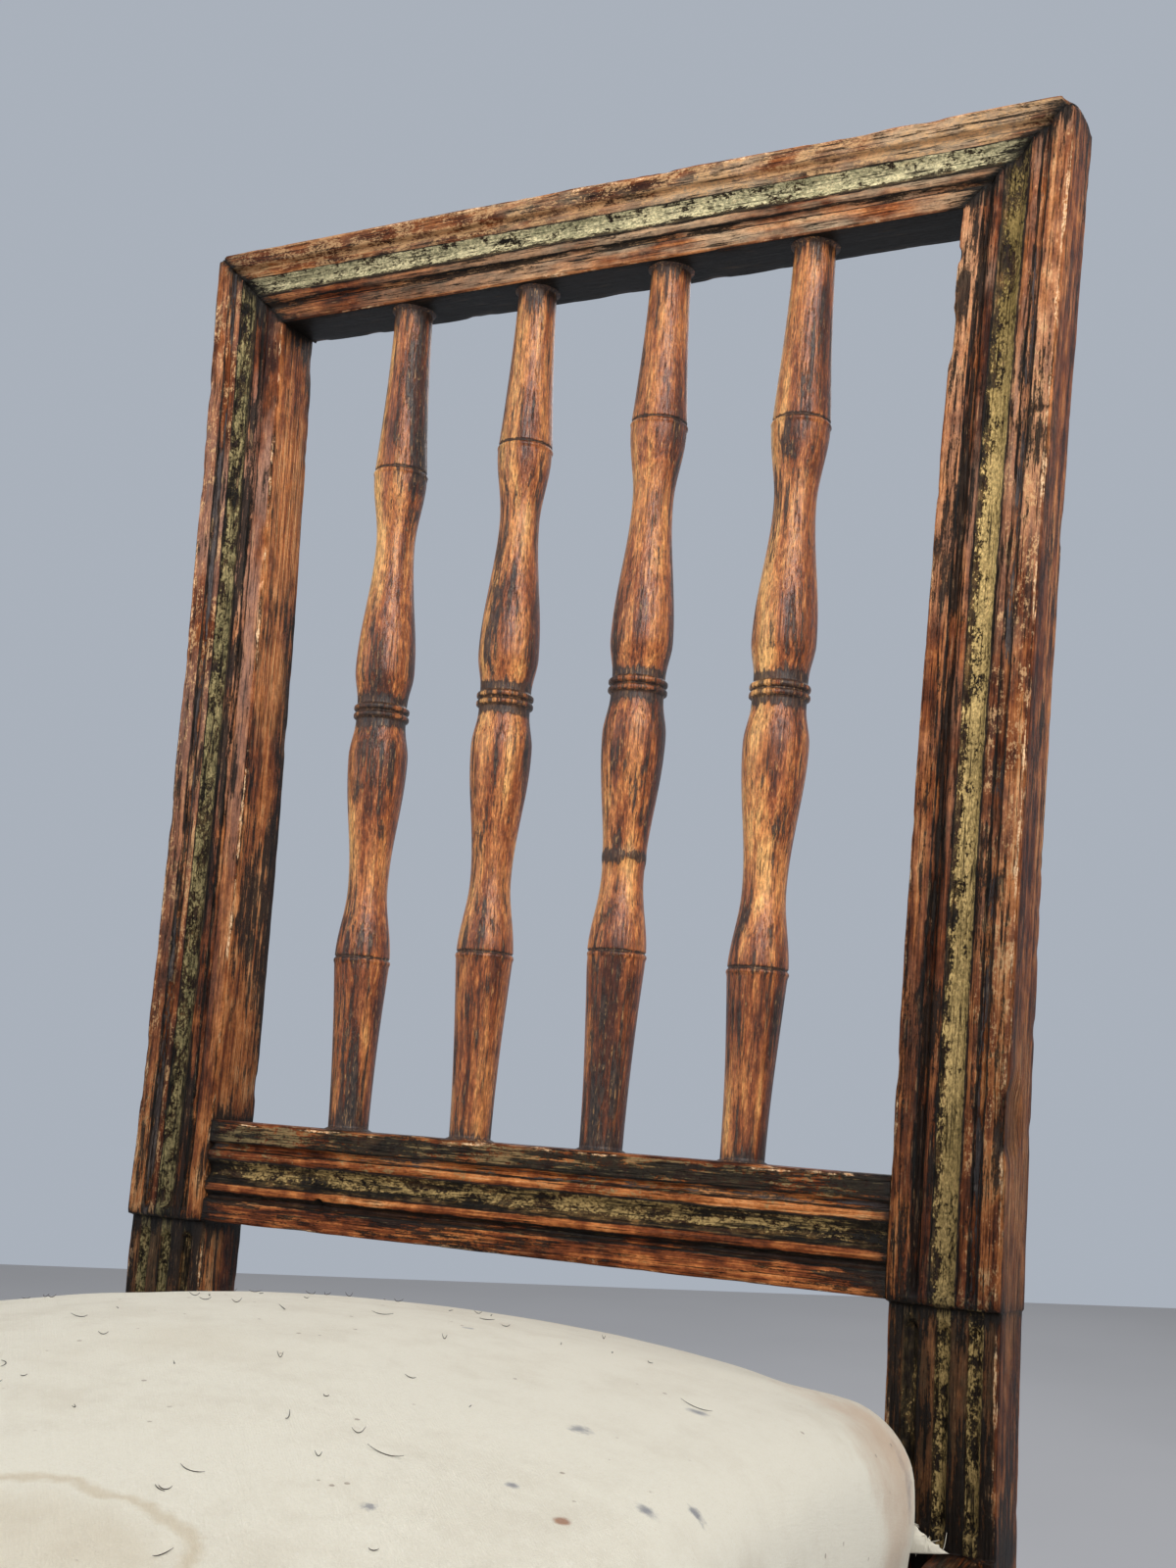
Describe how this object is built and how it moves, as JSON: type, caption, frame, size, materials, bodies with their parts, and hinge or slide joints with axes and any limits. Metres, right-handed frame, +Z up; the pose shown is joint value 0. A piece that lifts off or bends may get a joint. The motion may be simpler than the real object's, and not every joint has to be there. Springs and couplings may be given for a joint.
{
  "type": "painted spindle-back side chair with a drop-in seat",
  "caption": "Worn painted side chair: raked moulded back with turned spindles, fluted posts, square tapered legs and a drop-in seat in stained calico.",
  "frame": {"origin": "centre of the chair's footprint box, on the floor", "axes": "+Z up, the chair faces -Y, +X to the right of someone looking at its front"},
  "size_m": [0.47, 0.5004, 0.9299],
  "materials": {
    "painted_frame": "old painted mouldings, dark green-black and dull gold worn through to red-brown wood",
    "spindle_wood": "old varnished red-brown wood, worn to honey at the waists",
    "rail_wood": "worn dark paint over red-brown wood",
    "peg_wood": "end grain, darkened",
    "raw_wood": "bare sawn wood, dusty",
    "iron": "dull forged iron with light rust",
    "webbing": "coarse jute twill",
    "hessian": "open jute weave",
    "horsehair": "curled hair",
    "calico": "unbleached cotton, stained, with hair showing through"
  },
  "bodies": {
    "root": {"rear_post_left": "painted_frame", "rear_post_right": "painted_frame", "crest_rail": "painted_frame", "lower_back_rail": "painted_frame", "spindle_outer_left": "spindle_wood", "spindle_inner_left": "spindle_wood", "spindle_inner_right": "spindle_wood", "spindle_outer_right": "spindle_wood", "front_leg_left": "rail_wood", "front_leg_right": "rail_wood", "front_seat_rail": "rail_wood", "back_seat_rail": "rail_wood", "left_seat_rail": "rail_wood", "right_seat_rail": "rail_wood", "seat_rail_pegs": "peg_wood", "corner_block_front_left": "raw_wood", "corner_block_front_right": "raw_wood", "corner_block_back_left": "raw_wood", "corner_block_back_right": "raw_wood", "corner_block_nails": "iron", "seat_frame_front": "raw_wood", "seat_frame_back": "raw_wood", "seat_frame_left": "raw_wood", "seat_frame_right": "raw_wood", "webbing_lengthwise": "webbing", "webbing_crosswise": "webbing", "webbing_tacks": "iron", "hessian": "hessian", "horsehair_stuffing": "horsehair", "calico_cover": "calico", "cover_tacks": "iron"}
  },
  "joints": []
}
